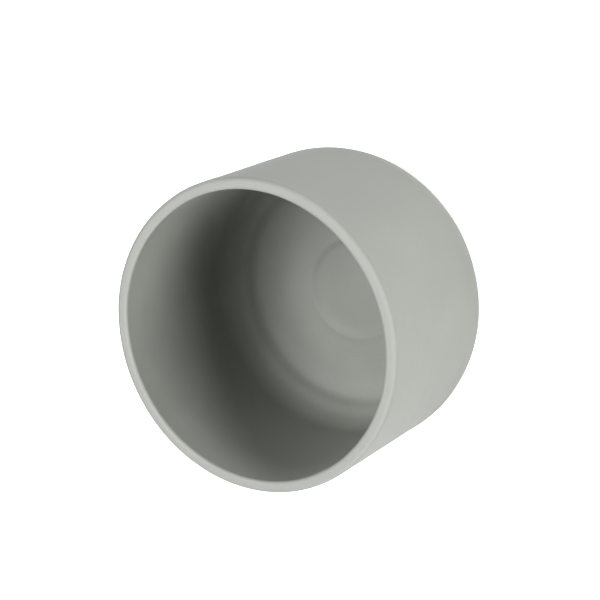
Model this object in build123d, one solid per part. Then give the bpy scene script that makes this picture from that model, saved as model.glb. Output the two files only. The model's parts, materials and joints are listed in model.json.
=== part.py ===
from build123d import *
import math
import os

# Candle jar: a straight-sided stoneware tumbler with a rounded base and a low foot ring.
# Every size is in millimetres.
# The jar stands on Z = 0 with its axis on Z and its mouth upward.

# Overall sizes
OUTER_DIAMETER = 90.0       # across the glazed wall
HEIGHT = 67.0               # resting plane to the top of the glazed lip

# Wall, floor and lip
WALL = 3.4                  # straight wall, fired clay with the glaze on both sides
FLOOR_HEIGHT = 5.5          # resting plane to the glazed floor inside
INNER_ROUNDING = 13.0       # rounding between the floor and the wall, inside
LIP_OUTER_EDGE = 1.3        # rounding between the lip and the outside
LIP_INNER_EDGE = 0.9        # rounding between the lip and the bore

# Base and foot
BASE_ROUNDING = 17.0        # rounding between the wall and the base, outside
FOOT_HEIGHT = 1.2           # resting plane to the underside of the rounded base
FOOT_RING_WIDTH = 6.0       # flat unglazed ring the jar stands on
FOOT_RECESS = 1.3           # hollow inside the foot ring, depth
FOOT_EDGE = 0.5             # bevel on the outer corner of the foot ring

# Glaze
GLAZE = 0.20                # thickness of the glaze skin
GLAZE_LINE_HEIGHT = 3.2     # resting plane to where the glaze stops above the foot

# Values that follow from the sizes above
OUTER_RADIUS = OUTER_DIAMETER / 2
BORE_RADIUS = OUTER_RADIUS - WALL
FOOT_RADIUS = OUTER_RADIUS - BASE_ROUNDING
BASE_CENTRE = (FOOT_RADIUS, FOOT_HEIGHT + BASE_ROUNDING)
CORNER_CENTRE = (BORE_RADIUS - INNER_ROUNDING, FLOOR_HEIGHT + INNER_ROUNDING)
LIP_OUTER_CENTRE = (OUTER_RADIUS - LIP_OUTER_EDGE, HEIGHT - LIP_OUTER_EDGE)
LIP_INNER_CENTRE = (BORE_RADIUS + LIP_INNER_EDGE, HEIGHT - LIP_INNER_EDGE)


def glaze_line_angle():
    """Angle, seen from the centre of the base rounding, at which the glaze stops."""
    drop = BASE_CENTRE[1] - GLAZE_LINE_HEIGHT
    return -math.degrees(math.asin(drop / BASE_ROUNDING))


def vessel_surface(inset, start_angle):
    """Lines of one vessel surface, from the base rounding over the lip to the axis.

    The glazed surface has no inset, the clay surface lies one glaze thickness inside it.
    """
    base = CenterArc(BASE_CENTRE, BASE_ROUNDING - inset, start_angle, -start_angle)
    lip_outer = CenterArc(LIP_OUTER_CENTRE, LIP_OUTER_EDGE - inset, 0, 90)
    lip_inner = CenterArc(LIP_INNER_CENTRE, LIP_INNER_EDGE - inset, 90, 90)
    corner = CenterArc(CORNER_CENTRE, INNER_ROUNDING + inset, 0, -90)
    outer_wall = Line(base @ 1, lip_outer @ 0)
    land = Line(lip_outer @ 1, lip_inner @ 0)
    bore = Line(lip_inner @ 1, corner @ 0)
    floor = Line(corner @ 1, (0, FLOOR_HEIGHT - inset))
    return [base, outer_wall, lip_outer, land, lip_inner, bore, corner, floor]


def turned(lines):
    """Solid of revolution about the jar's axis from a closed half section."""
    section = Plane.XZ * make_face(lines)
    return revolve(section, axis=Axis.Z, revolution_arc=360)


def clay_body():
    """Fired clay vessel with its bare foot ring and the hollow inside the ring."""
    surface = vessel_surface(GLAZE, -90)
    ring_inner = FOOT_RADIUS - FOOT_RING_WIDTH
    foot = Polyline(
        surface[-1] @ 1,
        (0, FOOT_RECESS),
        (ring_inner - FOOT_RECESS, FOOT_RECESS),
        (ring_inner, 0),
        (FOOT_RADIUS - FOOT_EDGE, 0),
        (FOOT_RADIUS, FOOT_EDGE),
        surface[0] @ 0,
    )
    return turned(surface + foot.edges())


def glaze_coat():
    """Glaze skin over the inside, the lip and the outside, down to the glaze line."""
    angle = glaze_line_angle()
    outside = vessel_surface(0, angle)
    inside = vessel_surface(GLAZE, angle)
    rolled_end = Line(inside[0] @ 0, outside[0] @ 0)
    axis_end = Line(outside[-1] @ 1, inside[-1] @ 1)
    return turned(outside + inside + [rolled_end, axis_end])


os.makedirs("parts", exist_ok=True)
export_step(clay_body(), "parts/clay_body.step")
export_step(glaze_coat(), "parts/glaze_coat.step")
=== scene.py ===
# %% [markdown]
# # A glazed stoneware candle jar
# The jar is one turned pot: a straight wall, a rounded base, a soft lip and a low bare foot,
# under a satin grey glaze. This lesson builds its two visible pieces, the glaze skin and the
# bare clay, on a lathe-like workflow: draw half of the section, spin it, weld it, finish it.
# Everything is in metres, in the CAD model's own frame, so each piece lands on its node.

# %% Load the frame
import json
import math

import bpy
import numpy as np
from mathutils import Matrix, Vector


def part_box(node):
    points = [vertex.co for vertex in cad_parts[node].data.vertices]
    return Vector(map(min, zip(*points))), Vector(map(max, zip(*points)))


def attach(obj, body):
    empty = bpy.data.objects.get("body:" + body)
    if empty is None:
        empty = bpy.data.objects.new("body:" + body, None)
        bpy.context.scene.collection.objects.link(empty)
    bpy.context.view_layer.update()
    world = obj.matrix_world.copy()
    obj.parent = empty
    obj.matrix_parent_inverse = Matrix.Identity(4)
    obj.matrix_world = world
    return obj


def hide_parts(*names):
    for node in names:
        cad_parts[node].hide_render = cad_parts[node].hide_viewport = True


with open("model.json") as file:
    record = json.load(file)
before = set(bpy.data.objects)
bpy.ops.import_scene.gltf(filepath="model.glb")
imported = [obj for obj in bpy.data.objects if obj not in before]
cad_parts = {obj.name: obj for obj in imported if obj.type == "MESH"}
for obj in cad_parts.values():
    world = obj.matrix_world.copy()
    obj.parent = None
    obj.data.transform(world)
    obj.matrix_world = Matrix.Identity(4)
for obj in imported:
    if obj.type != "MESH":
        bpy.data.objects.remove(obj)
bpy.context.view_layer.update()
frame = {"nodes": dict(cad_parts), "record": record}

MM = 0.001

# %% [markdown]
# ## Reading the sizes
# A pot's section is a handful of numbers: outer radius, height, bore, floor, foot and the
# thickness of the glaze. They are read from the frame's own pieces and from its mouth, so the
# look follows the model when a size changes. Only the small roundings of the lip and the foot,
# and the height at which the base rounding starts, are named here.

# %% Sizes of the section
LIP_OUTER_EDGE = 1.3 * MM
LIP_INNER_EDGE = 0.9 * MM
FOOT_EDGE = 0.5 * MM
UNDERSIDE = 1.2 * MM
SLACK = 0.01 * MM


def node_points(name):
    """Radius and height of every vertex of a frame node."""
    corners = np.array([v.co for v in frame["nodes"][name].data.vertices])
    return np.hypot(corners[:, 0], corners[:, 1]), corners[:, 2]


def innermost_height(radii, heights):
    """Height of the ring of vertices nearest the axis, which is the edge of a flat disc."""
    return float(heights[radii < radii.min() + SLACK].max())


mouth = next(m for m in frame["record"]["mounts"] if m["name"] == "mouth")
clay_r, clay_z = node_points("clay_body")
OUTER = float(node_points("glaze_coat")[0].max())
HEIGHT = float(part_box("glaze_coat")[1][2])
GLAZE_LINE = float(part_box("glaze_coat")[0][2])
GLAZE = HEIGHT - float(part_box("clay_body")[1][2])
BORE = mouth["dims"]["r_mm"] * MM
FLOOR = innermost_height(*node_points("glaze_coat"))
RECESS = innermost_height(clay_r, clay_z)
FOOT_FLAT_OUTER = float(clay_r[clay_z < SLACK].max())
FOOT_FLAT_INNER = float(clay_r[clay_z < SLACK].min())
FOOT_RADIUS = FOOT_FLAT_OUTER + FOOT_EDGE
BASE_ROUNDING = OUTER - FOOT_RADIUS
CORNER_START = HEIGHT - LIP_INNER_EDGE - mouth["dims"]["length_mm"] * MM
CORNER_ROUNDING = CORNER_START - FLOOR
for label, size in (("outer", OUTER), ("height", HEIGHT), ("bore", BORE), ("floor", FLOOR),
                    ("glaze", GLAZE), ("foot", FOOT_RADIUS), ("corner", CORNER_ROUNDING)):
    print(label, round(size / MM, 3), "mm")

# %% [markdown]
# ## Drawing the section
# The section is straight stretches joined by quarter arcs, as a potter's profile rib would
# leave it. Each stretch gives points with the direction that faces out of the pot, because
# the marks of making are added along that direction. An inset of one glaze thickness gives
# the clay's surface from the same numbers.

# %% Stretches of a section
STEP = 0.55 * MM


def straight(start, end, facing, step=STEP):
    """Points from start to end, each with the way the surface faces."""
    count = max(2, round(math.dist(start, end) / step))
    stops = [i / count for i in range(count)]
    return [(start[0] + (end[0] - start[0]) * t, start[1] + (end[1] - start[1]) * t, *facing)
            for t in stops]


def rounding(centre, radius, start, end, hollow=False, step=STEP):
    """Points on an arc between two angles in degrees; a hollow one faces its centre."""
    sweep = math.radians(end - start)
    count = max(6, round(abs(sweep) * radius / step))
    side = -1 if hollow else 1
    points = []
    for i in range(count):
        angle = math.radians(start) + sweep * i / count
        way = (math.cos(angle), math.sin(angle))
        points.append((centre[0] + radius * way[0], centre[1] + radius * way[1],
                       side * way[0], side * way[1]))
    return points


def vessel(inset, first_angle, step=STEP):
    """The pot's surface from the base rounding over the lip to the middle of the floor."""
    base = (FOOT_RADIUS, UNDERSIDE + BASE_ROUNDING)
    outer_lip = (OUTER - LIP_OUTER_EDGE, HEIGHT - LIP_OUTER_EDGE)
    inner_lip = (BORE + LIP_INNER_EDGE, HEIGHT - LIP_INNER_EDGE)
    corner = (BORE - CORNER_ROUNDING, CORNER_START)
    fine = min(step, 0.2 * MM)
    outside = rounding(base, BASE_ROUNDING - inset, first_angle, 0, step=step)
    outside += straight((OUTER - inset, base[1]), (OUTER - inset, outer_lip[1]), (1, 0), step)
    lip = rounding(outer_lip, LIP_OUTER_EDGE - inset, 0, 90, step=fine)
    lip += straight((outer_lip[0], HEIGHT - inset), (inner_lip[0], HEIGHT - inset), (0, 1), fine)
    lip += rounding(inner_lip, LIP_INNER_EDGE - inset, 90, 180, step=fine)
    inside = straight((BORE + inset, inner_lip[1]), (BORE + inset, corner[1]), (-1, 0), step)
    inside += rounding(corner, CORNER_ROUNDING + inset, 0, -90, hollow=True, step=step)
    inside += straight((corner[0], FLOOR - inset), (0, FLOOR - inset), (0, 1), step)
    return outside, lip, inside + [(0, FLOOR - inset, 0, 1)]


glaze_end_drop = UNDERSIDE + BASE_ROUNDING - GLAZE_LINE
GLAZE_END_ANGLE = -math.degrees(math.asin(glaze_end_drop / BASE_ROUNDING))
print("glaze stops", round(GLAZE_END_ANGLE, 1), "degrees round the base")

# %% [markdown]
# ## The marks of making
# Fingers and a rib leave faint rings inside a turned pot, a valley and a ridge where the wall
# meets the floor, and a shallow dish at the middle of the floor. These are real relief, so they
# go into the section and not only into the material. Each is a smooth bump or step of under a
# millimetre at its own radius; the fine rings are three waves that drift against each other.

# %% Relief along the section
RIDGE_RADIUS = BORE - 4.3 * MM
RIDGE_WIDTH = 1.6 * MM
RIDGE_RISE = 0.42 * MM
VALLEY_RADIUS = BORE - 7.2 * MM
VALLEY_WIDTH = 2.0 * MM
VALLEY_DROP = 0.14 * MM
DISH_RADIUS = 14.2 * MM
DISH_SOFTNESS = 0.4 * MM
DISH_DROP = 0.50 * MM
BRIM_RADIUS = DISH_RADIUS + 1.7 * MM
BRIM_WIDTH = 0.9 * MM
BRIM_RISE = 0.12 * MM
INSIDE_RINGS = 0.014 * MM
OUTSIDE_RINGS = 0.008 * MM
ROLLED_END = 0.16 * MM


def bump(place, middle, width):
    """A smooth bump of height one."""
    return math.exp(-((place - middle) / width) ** 2)


def fine_rings(travel):
    """Slow and quick rings that never quite repeat, from minus one to one."""
    slow = math.sin(travel / (0.92 * MM)) + 0.7 * math.sin(travel / (0.53 * MM) + 1.3)
    return (slow + 0.5 * math.sin(travel / (2.3 * MM) + 0.4)) / 2.2


def thrown_form(radius, height, travel):
    """The valley and ridge round the floor, and the shallow dish at the floor's middle."""
    if height > CORNER_START:
        return 0.0
    ridge = RIDGE_RISE * bump(radius, RIDGE_RADIUS, RIDGE_WIDTH)
    valley = VALLEY_DROP * bump(radius, VALLEY_RADIUS, VALLEY_WIDTH)
    dish = DISH_DROP / (1 + math.exp((radius - DISH_RADIUS) / DISH_SOFTNESS))
    return ridge - valley - dish + BRIM_RISE * bump(radius, BRIM_RADIUS, BRIM_WIDTH)


def inside_relief(radius, height, travel):
    """The thrown form with fine turning rings over it."""
    return thrown_form(radius, height, travel) + INSIDE_RINGS * fine_rings(travel)


def outside_relief(radius, height, travel):
    """A near-smooth wall with a rolled end where the glaze stops above the foot."""
    return OUTSIDE_RINGS * fine_rings(travel) + ROLLED_END * bump(travel, 0.6 * MM, 0.7 * MM)


def raised(points, relief):
    """The points moved along their facing by relief(radius, height, travel)."""
    outline, travel, last = [], 0.0, points[0]
    for radius, height, way_r, way_z in points:
        travel += math.dist((radius, height), last[:2])
        last = (radius, height)
        lift = relief(radius, height, travel)
        outline.append((max(0.0, radius + way_r * lift), height + way_z * lift))
    return outline


outside, lip, inside = vessel(0, GLAZE_END_ANGLE)
glazed_side = raised(outside, outside_relief)
glazed_side += [point[:2] for point in lip]
glazed_side += raised(inside, inside_relief)
print("glazed side has", len(glazed_side), "points")

# %% [markdown]
# ## Spinning a piece
# A turned thing can be built ring by ring, with a screw modifier, or by spinning its section.
# Spinning is nearest to the wheel and keeps every ring exactly round. One vertex is placed,
# drawn along the section by extruding, and spun a full turn. The seam and the poles are then
# welded, and the faces turned outwards, which a spin doesn't promise.

# %% Lathe helper
TURN_STEPS = 176
WELD = 0.001 * MM


def deselect_everything():
    """Leaves nothing selected, so that the next operator meets only the new piece."""
    bpy.ops.object.select_all(action="DESELECT")


def lathe(name, outline):
    """One closed turned piece; its outline of (radius, height) starts and ends on the axis."""
    deselect_everything()
    bpy.ops.mesh.primitive_plane_add(size=MM, location=(outline[0][0], 0, outline[0][1]))
    piece = bpy.context.object
    piece.name = name
    piece.data.name = name
    bpy.ops.object.mode_set(mode="EDIT")
    bpy.ops.mesh.select_all(action="SELECT")
    bpy.ops.mesh.merge(type="CENTER")
    for (r0, z0), (r1, z1) in zip(outline, outline[1:]):
        bpy.ops.mesh.extrude_region_move(TRANSFORM_OT_translate={"value": (r1 - r0, 0, z1 - z0)})
    bpy.ops.mesh.select_all(action="SELECT")
    bpy.ops.mesh.spin(steps=TURN_STEPS, angle=math.tau, center=(0, 0, 0), axis=(0, 0, 1))
    bpy.ops.mesh.select_all(action="SELECT")
    bpy.ops.mesh.remove_doubles(threshold=WELD)
    bpy.ops.mesh.normals_make_consistent(inside=False)
    bpy.ops.object.mode_set(mode="OBJECT")
    bpy.ops.object.transform_apply(location=True, rotation=True, scale=True)
    print(name, len(piece.data.vertices), "vertices", len(piece.data.polygons), "faces")
    return piece


def open_edges(piece):
    """How many edges don't join exactly two faces; a closed piece has none."""
    uses = {}
    for face in piece.data.polygons:
        for key in face.edge_keys:
            uses[key] = uses.get(key, 0) + 1
    return sum(1 for count in uses.values() if count != 2)


print("a full turn takes", TURN_STEPS, "steps")

# %% [markdown]
# ## The glaze skin
# The glaze is a coat about a fifth of a millimetre thick. Its section goes along the glazed
# side from the foot over the lip to the middle of the floor, and back along the clay. The
# thrown form is in the clay, so both sides of the coat follow it. A hand-finished pot is never
# quite round: displace modifiers with a soft cloud texture pull it sideways by up to a tenth
# of a millimetre. They push along fixed directions and not along the normals, so the thin coat
# keeps its thickness, and the clay can be pulled the same way.

# %% Build the glaze skin
BACK_STEP = 1.1 * MM
OUT_OF_ROUND = 0.20 * MM
back_outside, back_lip, back_inside = vessel(GLAZE, GLAZE_END_ANGLE, BACK_STEP)
clay_side = [point[:2] for point in back_outside + back_lip[::3]]
clay_side += raised(back_inside, thrown_form)
# The loop starts at the middle of the floor, so that both of its ends lie on the axis.
glaze = lathe("jar_glaze", glazed_side[::-1] + clay_side)

unevenness = bpy.data.textures.new("soft_unevenness", "CLOUDS")
unevenness.noise_scale = 15 * MM
unevenness.noise_depth = 1


def finish_turned(piece, smooth_angle):
    """Pulls a piece a hair out of round, the same way for every piece, and smooths it."""
    deselect_everything()
    piece.select_set(True)
    bpy.context.view_layer.objects.active = piece
    for direction in ("X", "Y"):
        pull = piece.modifiers.new("out_of_round", "DISPLACE")
        pull.texture = unevenness
        pull.texture_coords = "LOCAL"
        pull.direction = direction
        pull.strength = OUT_OF_ROUND
        pull.mid_level = 0.5
        bpy.ops.object.modifier_apply(modifier=pull.name)
    bpy.ops.object.shade_smooth_by_angle(angle=math.radians(smooth_angle))


finish_turned(glaze, 50)
print("open edges in the glaze", open_edges(glaze))

# %% [markdown]
# ## The clay body
# Under the glaze the clay is hidden, and its bare part is the foot: a strip of the rounded
# base below the glaze line, a flat ring the jar stands on, and a shallow hollow inside it,
# trimmed with a tool that leaves rings. The same lathe makes it, from the clay's own surface,
# drawn a hair behind the back of the glaze so that the two never share a face.

# %% Build the clay body
HAIR = 0.02 * MM
TRIM_RINGS = 0.035 * MM
TRIM_DIMPLE = 0.12 * MM


def trimmed(radius, height, travel):
    """Rings left by the trimming tool on the hollow under the jar."""
    return TRIM_RINGS * fine_rings(travel * 1.15) - TRIM_DIMPLE * bump(radius, 0, 1.4 * MM)


hidden_outside, hidden_lip, hidden_inside = vessel(GLAZE + HAIR, -90, BACK_STEP)
hollow_edge = FOOT_FLAT_INNER - RECESS
hollow = straight((hollow_edge, RECESS), (0, RECESS), (0, -1), 0.4 * MM) + [(0, RECESS, 0, -1)]
edge_centre = (FOOT_RADIUS - FOOT_EDGE, FOOT_EDGE)
foot = [point[:2] for point in rounding(edge_centre, FOOT_EDGE, 0, -90)]
foot += [(FOOT_FLAT_OUTER, 0), (FOOT_FLAT_INNER, 0)]
surface = [point[:2] for point in hidden_outside + hidden_lip[::3]]
surface += raised(hidden_inside, thrown_form)
# From the middle of the floor, over the lip, down to the foot, and in to the middle below.
clay = lathe("jar_clay", surface[::-1] + foot + raised(hollow, trimmed))
finish_turned(clay, 35)
print("open edges in the clay", open_edges(clay))

# %% [markdown]
# ## Shared surface effects
# Both finishes need the same two things: rings left by turning, and the cloudy, speckled
# variation of something fired in a kiln. Each is a node group, built once, and a few small
# helpers keep the node code short.

# %% Node helpers
def add_node(tree, kind, **values):
    """A node whose named inputs are set."""
    made = tree.nodes.new(kind)
    for key, value in values.items():
        made.inputs[key.replace("_", " ")].default_value = value
    return made


def compute(tree, operation, first, second=None):
    """A math node on sockets or numbers, giving its output."""
    made = tree.nodes.new("ShaderNodeMath")
    made.operation = operation
    for slot_number, value in enumerate((first, second)):
        if value is None:
            continue
        if isinstance(value, (int, float)):
            made.inputs[slot_number].default_value = value
        else:
            tree.links.new(value, made.inputs[slot_number])
    return made.outputs[0]


def new_group(name, inputs, outputs):
    """A shader node group with named float sockets, its two ends and its tree."""
    tree = bpy.data.node_groups.new(name, "ShaderNodeTree")
    for socket, value in inputs.items():
        made = tree.interface.new_socket(socket, in_out="INPUT", socket_type="NodeSocketFloat")
        made.default_value = value
    for socket in outputs:
        tree.interface.new_socket(socket, in_out="OUTPUT", socket_type="NodeSocketFloat")
    return tree, tree.nodes.new("NodeGroupInput"), tree.nodes.new("NodeGroupOutput")


# %% [markdown]
# ## Turning rings
# A wheel leaves one long groove and not separate rings. The group counts rings by height on
# the pot plus distance from its axis, and moves on by one ring a turn, which gives a true
# spiral. Noise makes it wander and wears it away in patches, as a wet sponge would.

# %% Turning rings group
def build_turning_rings():
    """Height of spiral turning rings, from zero to one, worn away in patches."""
    tree, given, result = new_group("Turning rings", {"Rings per metre": 900.0, "Wander": 0.6},
                                    ("Height",))
    place = tree.nodes.new("ShaderNodeTexCoord").outputs["Object"]
    axes = tree.nodes.new("ShaderNodeSeparateXYZ")
    tree.links.new(place, axes.inputs[0])
    across, along, up = axes.outputs
    radius = compute(tree, "SQRT", compute(tree, "ADD", compute(tree, "MULTIPLY", across, across),
                                           compute(tree, "MULTIPLY", along, along)))
    turn = compute(tree, "DIVIDE", compute(tree, "ARCTAN2", along, across), math.tau)
    drift = add_node(tree, "ShaderNodeTexNoise", Scale=70.0, Detail=2.0)
    tree.links.new(place, drift.inputs["Vector"])
    count = compute(tree, "MULTIPLY", compute(tree, "ADD", radius, up),
                    given.outputs["Rings per metre"])
    wander = compute(tree, "MULTIPLY", drift.outputs[0], given.outputs["Wander"])
    phase = compute(tree, "ADD", compute(tree, "ADD", count, turn), wander)
    wave = compute(tree, "SINE", compute(tree, "MULTIPLY", phase, math.tau))
    worn = add_node(tree, "ShaderNodeTexNoise", Scale=38.0, Detail=3.0)
    tree.links.new(place, worn.inputs["Vector"])
    patched = compute(tree, "MULTIPLY", wave, worn.outputs[0])
    tree.links.new(compute(tree, "ADD", compute(tree, "MULTIPLY", patched, 0.5), 0.5),
                   result.inputs["Height"])
    return tree


turning_rings = build_turning_rings()
print("group:", turning_rings.name)


# %% [markdown]
# ## Kiln variation
# Heat and flame colour a pot unevenly, and specks of iron burn through. The clouds are soft
# noise. The specks are small round cells, and a second noise picks which of them show. A fine
# grain is kept apart, for the bump.

# %% Kiln variation group
def build_kiln_variation():
    """Cloudy variation and small dark specks, each from zero to one."""
    tree, given, result = new_group(
        "Kiln variation", {"Cloud scale": 30.0, "Speck scale": 900.0, "Speck share": 0.3},
        ("Clouds", "Specks", "Grain"))
    place = tree.nodes.new("ShaderNodeTexCoord").outputs["Object"]
    clouds = add_node(tree, "ShaderNodeTexNoise", Detail=5.0, Roughness=0.55)
    grain = add_node(tree, "ShaderNodeTexNoise", Scale=2600.0, Detail=3.0, Roughness=0.65)
    specks = tree.nodes.new("ShaderNodeTexVoronoi")
    chance = add_node(tree, "ShaderNodeTexNoise", Scale=420.0, Detail=1.0)
    for texture in (clouds, grain, specks, chance):
        tree.links.new(place, texture.inputs["Vector"])
    tree.links.new(given.outputs["Cloud scale"], clouds.inputs["Scale"])
    tree.links.new(given.outputs["Speck scale"], specks.inputs["Scale"])
    near = compute(tree, "LESS_THAN", specks.outputs["Distance"], given.outputs["Speck share"])
    chosen = compute(tree, "GREATER_THAN", chance.outputs[0], 0.56)
    tree.links.new(clouds.outputs[0], result.inputs["Clouds"])
    tree.links.new(compute(tree, "MULTIPLY", near, chosen), result.inputs["Specks"])
    tree.links.new(grain.outputs[0], result.inputs["Grain"])
    return tree


kiln_variation = build_kiln_variation()
print("group:", kiln_variation.name)

# %% [markdown]
# ## The satin glaze
# A satin glaze scatters light softly and shows no sharp reflections, so its roughness is
# high and varies in clouds. Towards the top of the lip the colour is lighter: partly thinner
# glaze, partly a painted highlight where the lip faces the light. The bump has the fine
# spiral rings and a still finer grain. Colour, roughness and bump change over the surface;
# what is the same everywhere is set on the shader itself.

# %% Glaze material
def mixed_colour(tree, mask, dark, light):
    """A colour between two, by a mask."""
    made = tree.nodes.new("ShaderNodeMix")
    made.data_type = "RGBA"
    tree.links.new(mask, made.inputs[0])
    for slot_number, colour in ((6, dark), (7, light)):
        if isinstance(colour, tuple):
            made.inputs[slot_number].default_value = (*colour, 1)
        else:
            tree.links.new(colour, made.inputs[slot_number])
    return made.outputs[2]


def ranged(tree, value, low, high, to_low, to_high, smooth=False):
    """A value moved from one range to another and kept inside it."""
    made = tree.nodes.new("ShaderNodeMapRange")
    made.interpolation_type = "SMOOTHSTEP" if smooth else "LINEAR"
    tree.links.new(value, made.inputs[0])
    for slot_number, number in enumerate((low, high, to_low, to_high), start=1):
        made.inputs[slot_number].default_value = number
    return made.outputs[0]


def placed_group(tree, group, **values):
    """A node group placed in a material, with its own values."""
    made = tree.nodes.new("ShaderNodeGroup")
    made.node_tree = group
    for key, value in values.items():
        made.inputs[key.replace("_", " ")].default_value = value
    return made


def stacked_bump(tree, shader, layers):
    """Bump nodes in a row, each (height, distance in metres), feeding the shader's normal."""
    normal = None
    for height, distance in layers:
        made = add_node(tree, "ShaderNodeBump", Strength=1.0, Distance=distance)
        tree.links.new(height, made.inputs["Height"])
        if normal is not None:
            tree.links.new(normal, made.inputs["Normal"])
        normal = made.outputs[0]
    tree.links.new(normal, shader.inputs["Normal"])


GLAZE_DARK = (0.215, 0.224, 0.202)
GLAZE_LIGHT = (0.238, 0.248, 0.224)
# Lighter colour for the top of the lip: partly thinner glaze, partly a painted highlight where
# the lip faces the light.
GLAZE_LIP_HIGHLIGHT = (0.272, 0.279, 0.260)
GLAZE_SPECK = (0.165, 0.168, 0.150)
SPECK_STRENGTH = 0.16
# Heights below the top where the painted lip highlight starts and where it is full.
LIP_HIGHLIGHT_STARTS = 1.1 * MM
LIP_HIGHLIGHT_FULL = 0.1 * MM


def glaze_material():
    """Satin grey glaze with clouds, faint specks, a lighter lip (thinner glaze and a painted
    highlight) and fine spiral rings.
    """
    material = bpy.data.materials.new("grey_glaze")
    material.use_nodes = True
    tree = material.node_tree
    shader = tree.nodes["Principled BSDF"]
    shader.inputs["IOR"].default_value = 1.5
    shader.inputs["Specular IOR Level"].default_value = 0.32
    shader.inputs["Sheen Weight"].default_value = 0.06
    shader.inputs["Sheen Roughness"].default_value = 0.6
    rings = placed_group(tree, turning_rings, Rings_per_metre=760.0, Wander=0.8)
    fired = placed_group(tree, kiln_variation, Cloud_scale=34.0, Speck_scale=700.0,
                         Speck_share=0.22)
    place = tree.nodes.new("ShaderNodeTexCoord").outputs["Object"]
    axes = tree.nodes.new("ShaderNodeSeparateXYZ")
    tree.links.new(place, axes.inputs[0])
    body = mixed_colour(tree, ranged(tree, fired.outputs["Clouds"], 0.34, 0.66, 0, 1),
                        GLAZE_DARK, GLAZE_LIGHT)
    # Painted highlight: the colour turns lighter towards the top of the lip and stands in for the
    # light the lip catches.
    lip_highlight_mask = ranged(tree, axes.outputs[2], HEIGHT - LIP_HIGHLIGHT_STARTS, HEIGHT - LIP_HIGHLIGHT_FULL, 0, 1,
                  smooth=True)
    with_lip_highlight = mixed_colour(tree, lip_highlight_mask, body, GLAZE_LIP_HIGHLIGHT)
    speck = compute(tree, "MULTIPLY", fired.outputs["Specks"], SPECK_STRENGTH)
    tree.links.new(mixed_colour(tree, speck, with_lip_highlight, GLAZE_SPECK), shader.inputs["Base Color"])
    tree.links.new(ranged(tree, fired.outputs["Clouds"], 0.3, 0.7, 0.50, 0.62),
                   shader.inputs["Roughness"])
    stacked_bump(tree, shader, ((rings.outputs["Height"], 0.016 * MM),
                                (fired.outputs["Grain"], 0.006 * MM)))
    return material


satin_glaze = glaze_material()
print("finish:", satin_glaze.name)

# %% [markdown]
# ## The bare clay
# Unglazed stoneware is matt and sandy, a warmer grey than the glaze, with dark iron specks
# and the coarse rings of the trimming tool. It uses the same two groups with other values:
# rings further apart, more and larger specks, and a deeper grain.

# %% Clay material
CLAY_DARK = (0.250, 0.232, 0.198)
CLAY_LIGHT = (0.330, 0.310, 0.268)
CLAY_SPECK = (0.110, 0.090, 0.070)
IRON_STRENGTH = 0.7


def clay_material():
    """Matt sandy stoneware with iron specks and trimming rings."""
    material = bpy.data.materials.new("sandy_clay")
    material.use_nodes = True
    tree = material.node_tree
    shader = tree.nodes["Principled BSDF"]
    shader.inputs["Specular IOR Level"].default_value = 0.15
    rings = placed_group(tree, turning_rings, Rings_per_metre=520.0, Wander=1.2)
    fired = placed_group(tree, kiln_variation, Cloud_scale=80.0, Speck_scale=520.0,
                         Speck_share=0.30)
    body = mixed_colour(tree, ranged(tree, fired.outputs["Clouds"], 0.3, 0.7, 0, 1),
                        CLAY_DARK, CLAY_LIGHT)
    speck = compute(tree, "MULTIPLY", fired.outputs["Specks"], IRON_STRENGTH)
    tree.links.new(mixed_colour(tree, speck, body, CLAY_SPECK), shader.inputs["Base Color"])
    tree.links.new(ranged(tree, fired.outputs["Grain"], 0.3, 0.7, 0.82, 0.95),
                   shader.inputs["Roughness"])
    stacked_bump(tree, shader, ((rings.outputs["Height"], 0.05 * MM),
                                (fired.outputs["Grain"], 0.03 * MM)))
    return material


bare_clay = clay_material()
print("finish:", bare_clay.name)

# %% [markdown]
# ## Putting the pieces in the frame
# Each piece takes its finish, stands for its node in the frame, and rides on the one body.
# Nothing on this jar moves, so both pieces ride on the root.

# %% Finish, replace and ride
for piece, material, node_name, slot_name in (
        (glaze, satin_glaze, "glaze_coat", "satin_glaze"),
        (clay, bare_clay, "clay_body", "bare_clay")):
    piece.data.materials.clear()
    piece.data.materials.append(material)
    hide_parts(node_name)
    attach(piece, "root")
    print(piece.name, "stands for", node_name)

# %% [markdown]
# ## The camera
# The camera looks down into the mouth from about 57 degrees up and is rolled well over, so
# the jar seems to lean towards the lower left. The long lens keeps the wall's edges nearly
# parallel. Its place is counted from the jar's own centre, in outer radii. The angles, the
# distance and the lens are the result of a least-squares fit, not hand-set. So were the two
# offsets at first, and they were then nudged until the edges lined up.

# %% Place the camera
TILT = 0.5799
ROLL = 3.5769
DISTANCE = 12.053 * OUTER
SIDE = 0.0668 * OUTER
RISE = -0.0619 * OUTER
LENS = 111.86
SENSOR = 36.0

to_camera = Vector((0, -math.sin(TILT), math.cos(TILT)))
level = Vector((1, 0, 0))
uphill = Vector((0, math.cos(TILT), math.sin(TILT)))
lean = math.pi / 2 - ROLL
right = math.cos(lean) * level + math.sin(lean) * uphill
up = -math.sin(lean) * level + math.cos(lean) * uphill
middle = Vector((0, 0, HEIGHT / 2))

camera_data = bpy.data.cameras.new("camera")
camera_data.lens = LENS
camera_data.sensor_width = SENSOR
camera_data.clip_start = 0.01
camera = bpy.data.objects.new("camera", camera_data)
bpy.context.collection.objects.link(camera)
turned = Matrix((right, up, to_camera)).transposed().to_4x4()
camera.matrix_world = Matrix.Translation(
    middle - SIDE * right - RISE * up + DISTANCE * to_camera) @ turned
bpy.context.scene.camera = camera
print("camera is", round(camera.location.length, 3), "m away")

# %% [markdown]
# ## The floor
# A plain pale floor is washed out where it is looked at, as on a lit table, so it stays white.
# The wash is for the camera's own rays only: the jar gets no light from it, just the bounce
# of the panels.

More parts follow.
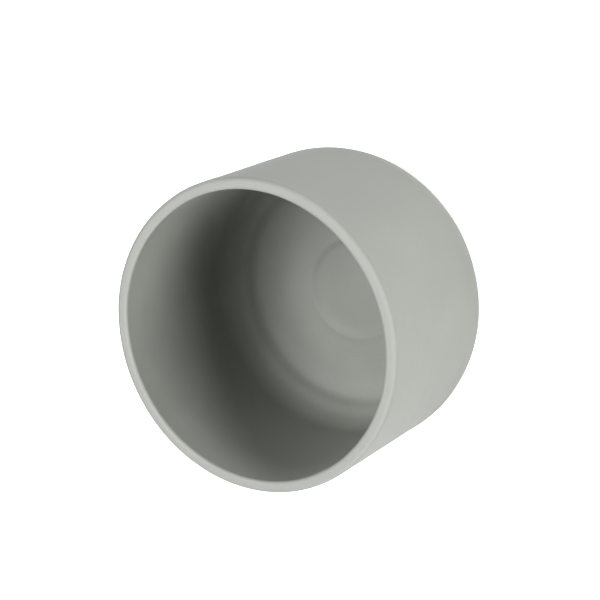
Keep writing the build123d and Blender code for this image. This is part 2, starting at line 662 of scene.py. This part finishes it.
# %% Floor
FLOOR_WASH = 0.62
FLOOR_SIZE = 8.0
deselect_everything()
bpy.ops.mesh.primitive_plane_add(size=FLOOR_SIZE, location=(0, 0, -0.02 * MM))
ground = bpy.context.object
ground.name = "floor"
paper = bpy.data.materials.new("pale_floor")
paper.use_nodes = True
paper_shader = paper.node_tree.nodes["Principled BSDF"]
paper_shader.inputs["Base Color"].default_value = (0.9, 0.9, 0.9, 1)
paper_shader.inputs["Roughness"].default_value = 0.9
paper_shader.inputs["Specular IOR Level"].default_value = 0.1
paper_shader.inputs["Emission Color"].default_value = (1, 1, 1, 1)
seen = paper.node_tree.nodes.new("ShaderNodeLightPath").outputs["Is Camera Ray"]
paper.node_tree.links.new(compute(paper.node_tree, "MULTIPLY", seen, FLOOR_WASH),
                          paper_shader.inputs["Emission Strength"])
ground.data.materials.append(paper)
print("floor is", FLOOR_SIZE, "m across")

# %% [markdown]
# ## Panels of light
# Soft round panels are aimed at the jar's middle, each named for where it stands as the camera
# sees it. A row of the table is a direction in the camera's own axes, a width in metres and a
# power in watts, and over_mouth stands on the jar's own axis. The powers were not set by
# hand: a least-squares program worked them out together, so that the floor inside is bright
# and the deep wall beside it is dark. The world itself is dark, so only the panels and their
# bounce reach the deep wall.

# %% Panels and sky
WORLD_FILL = 0.0
PANEL_DISTANCE = 0.75
PANELS = {
    "over_mouth": ((-0.497, -0.232, 0.837), 0.24, 1.151),
    "tilt_left": ((-0.80, -0.25, 0.75), 0.24, 2.549),
    "tilt_upper_left": ((-0.75, 0.15, 0.70), 0.24, 2.207),
    "high_left": ((-0.62, 0.05, 0.78), 0.20, 1.101),
    "bottom": ((0.0, -1.0, 0.3), 0.40, 3.336),
    "lower_right": ((0.5, -0.8, 0.7), 0.30, 0.161),
    "right": ((0.8, 0.0, 0.9), 0.30, 4.948),
    "top": ((0.0, 1.0, 0.62), 0.30, 0.126),
    "far_top": ((0.25, 0.95, 0.60), 0.16, 0.659),
}


def panel(name, place, size, power):
    """A round soft light, aimed at the middle of the jar."""
    way = (place[0] * right + place[1] * up + place[2] * to_camera).normalized()
    data = bpy.data.lights.new(name, "AREA")
    data.shape = "DISK"
    data.size = size
    data.energy = power
    light = bpy.data.objects.new(name, data)
    bpy.context.collection.objects.link(light)
    light.location = middle + PANEL_DISTANCE * way
    light.rotation_euler = way.to_track_quat("Z", "Y").to_euler()


for panel_name, (place, size, power) in PANELS.items():
    panel(panel_name, place, size, power)

world = bpy.data.worlds.new("soft_sky")
world.use_nodes = True
world.node_tree.nodes["Background"].inputs["Color"].default_value = (1, 1, 1, 1)
world.node_tree.nodes["Background"].inputs["Strength"].default_value = WORLD_FILL
bpy.context.scene.world = world
bpy.context.scene.view_settings.view_transform = "Standard"
print("panels lit:", sorted(PANELS))
